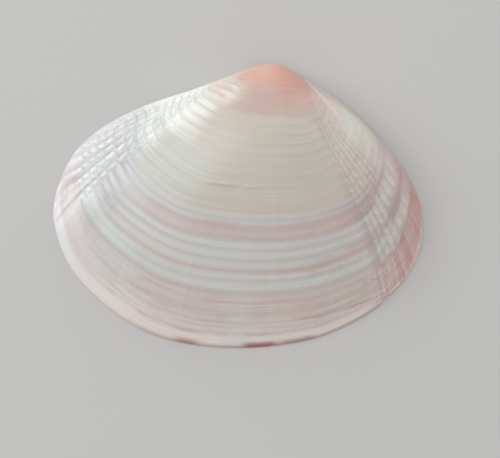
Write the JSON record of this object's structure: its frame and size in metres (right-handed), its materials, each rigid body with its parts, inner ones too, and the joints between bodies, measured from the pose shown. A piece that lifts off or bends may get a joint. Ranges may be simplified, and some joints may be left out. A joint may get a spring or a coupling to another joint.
{
  "type": "semele shell",
  "caption": "Single oval clam valve lying on its rim, low domed outside with growth ridges and radial ribs, pointed beak, hollow inside.",
  "frame": {"origin": "under the middle of the valve's box, on the plane of its rim", "axes": "+X along the hinge to the rear end, +Y up the valve to the beak, +Z out through the dome"},
  "size_m": [0.0364, 0.0284, 0.0067],
  "materials": {
    "shell": "satin, cream and lilac outside with a coral beak, smooth pearly white inside"
  },
  "bodies": {
    "root": {"valve": "shell"}
  },
  "joints": []
}
